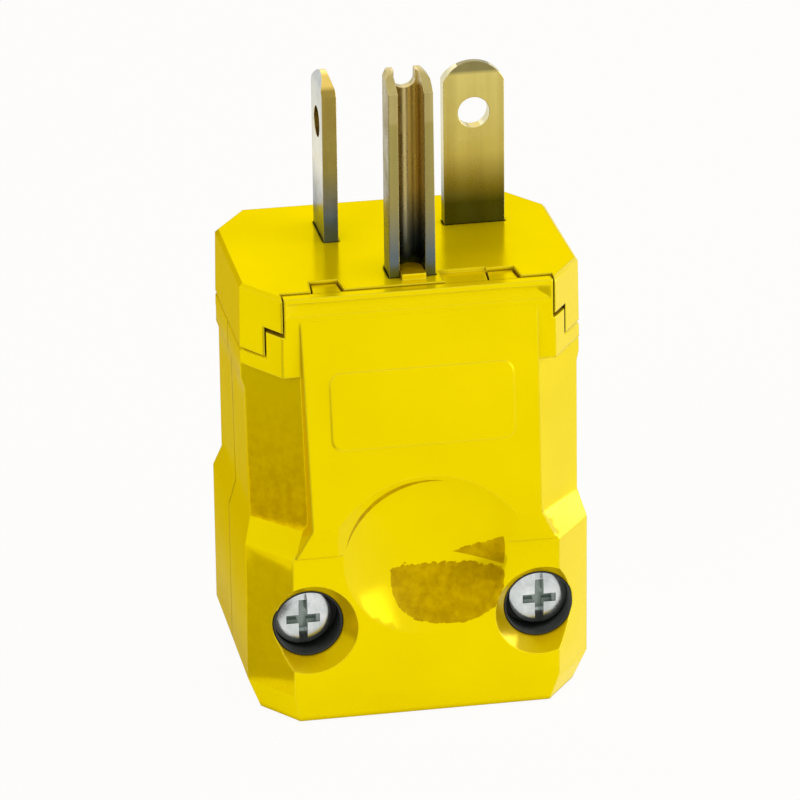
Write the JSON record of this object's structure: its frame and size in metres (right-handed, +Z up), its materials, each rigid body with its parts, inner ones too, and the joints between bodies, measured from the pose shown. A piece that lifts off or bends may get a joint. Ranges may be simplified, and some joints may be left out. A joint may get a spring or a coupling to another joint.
{
  "type": "straight blade plug",
  "caption": "Hand-wired yellow power plug with flat line and neutral blades, a U-shaped ground pin and two covers closed by two screws.",
  "frame": {"origin": "bottom centre of the body, in the middle of the cord entry", "axes": "+Z up along the blades, -Y towards the side with the two assembly screws and the ground pin, +X towards the neutral blade"},
  "size_m": [0.0356, 0.0338, 0.0671],
  "materials": {
    "yellow_nylon": "moulded yellow nylon, semi-gloss",
    "carrier_plastic": "moulded insulating plastic, matt",
    "blade_brass": "stamped brass with rolling marks",
    "terminal_brass": "brass screw",
    "clamp_steel": "zinc-plated steel",
    "screw_nickel": "nickel-plated steel screw",
    "ground_green": "green ground screw",
    "black_rubber": "black rubber",
    "grip_plastic": "dark moulded plastic, matt"
  },
  "bodies": {
    "root": {"face_body": "yellow_nylon", "front_cover": "yellow_nylon", "rear_cover": "yellow_nylon", "terminal_carrier": "carrier_plastic", "line_blade": "blade_brass", "neutral_blade": "blade_brass", "ground_blade": "blade_brass", "line_wire_clamp": "clamp_steel", "neutral_wire_clamp": "clamp_steel", "ground_wire_clamp": "clamp_steel", "line_terminal_screw": "terminal_brass", "neutral_terminal_screw": "screw_nickel", "ground_terminal_screw": "ground_green", "assembly_screw_left": "screw_nickel", "assembly_screw_right": "screw_nickel", "screw_retainer_left": "black_rubber", "screw_retainer_right": "black_rubber", "captive_nut_left": "clamp_steel", "captive_nut_right": "clamp_steel", "carrier_screw_left": "clamp_steel", "carrier_screw_right": "clamp_steel", "front_cord_grip": "grip_plastic", "rear_cord_grip": "grip_plastic"}
  },
  "joints": []
}
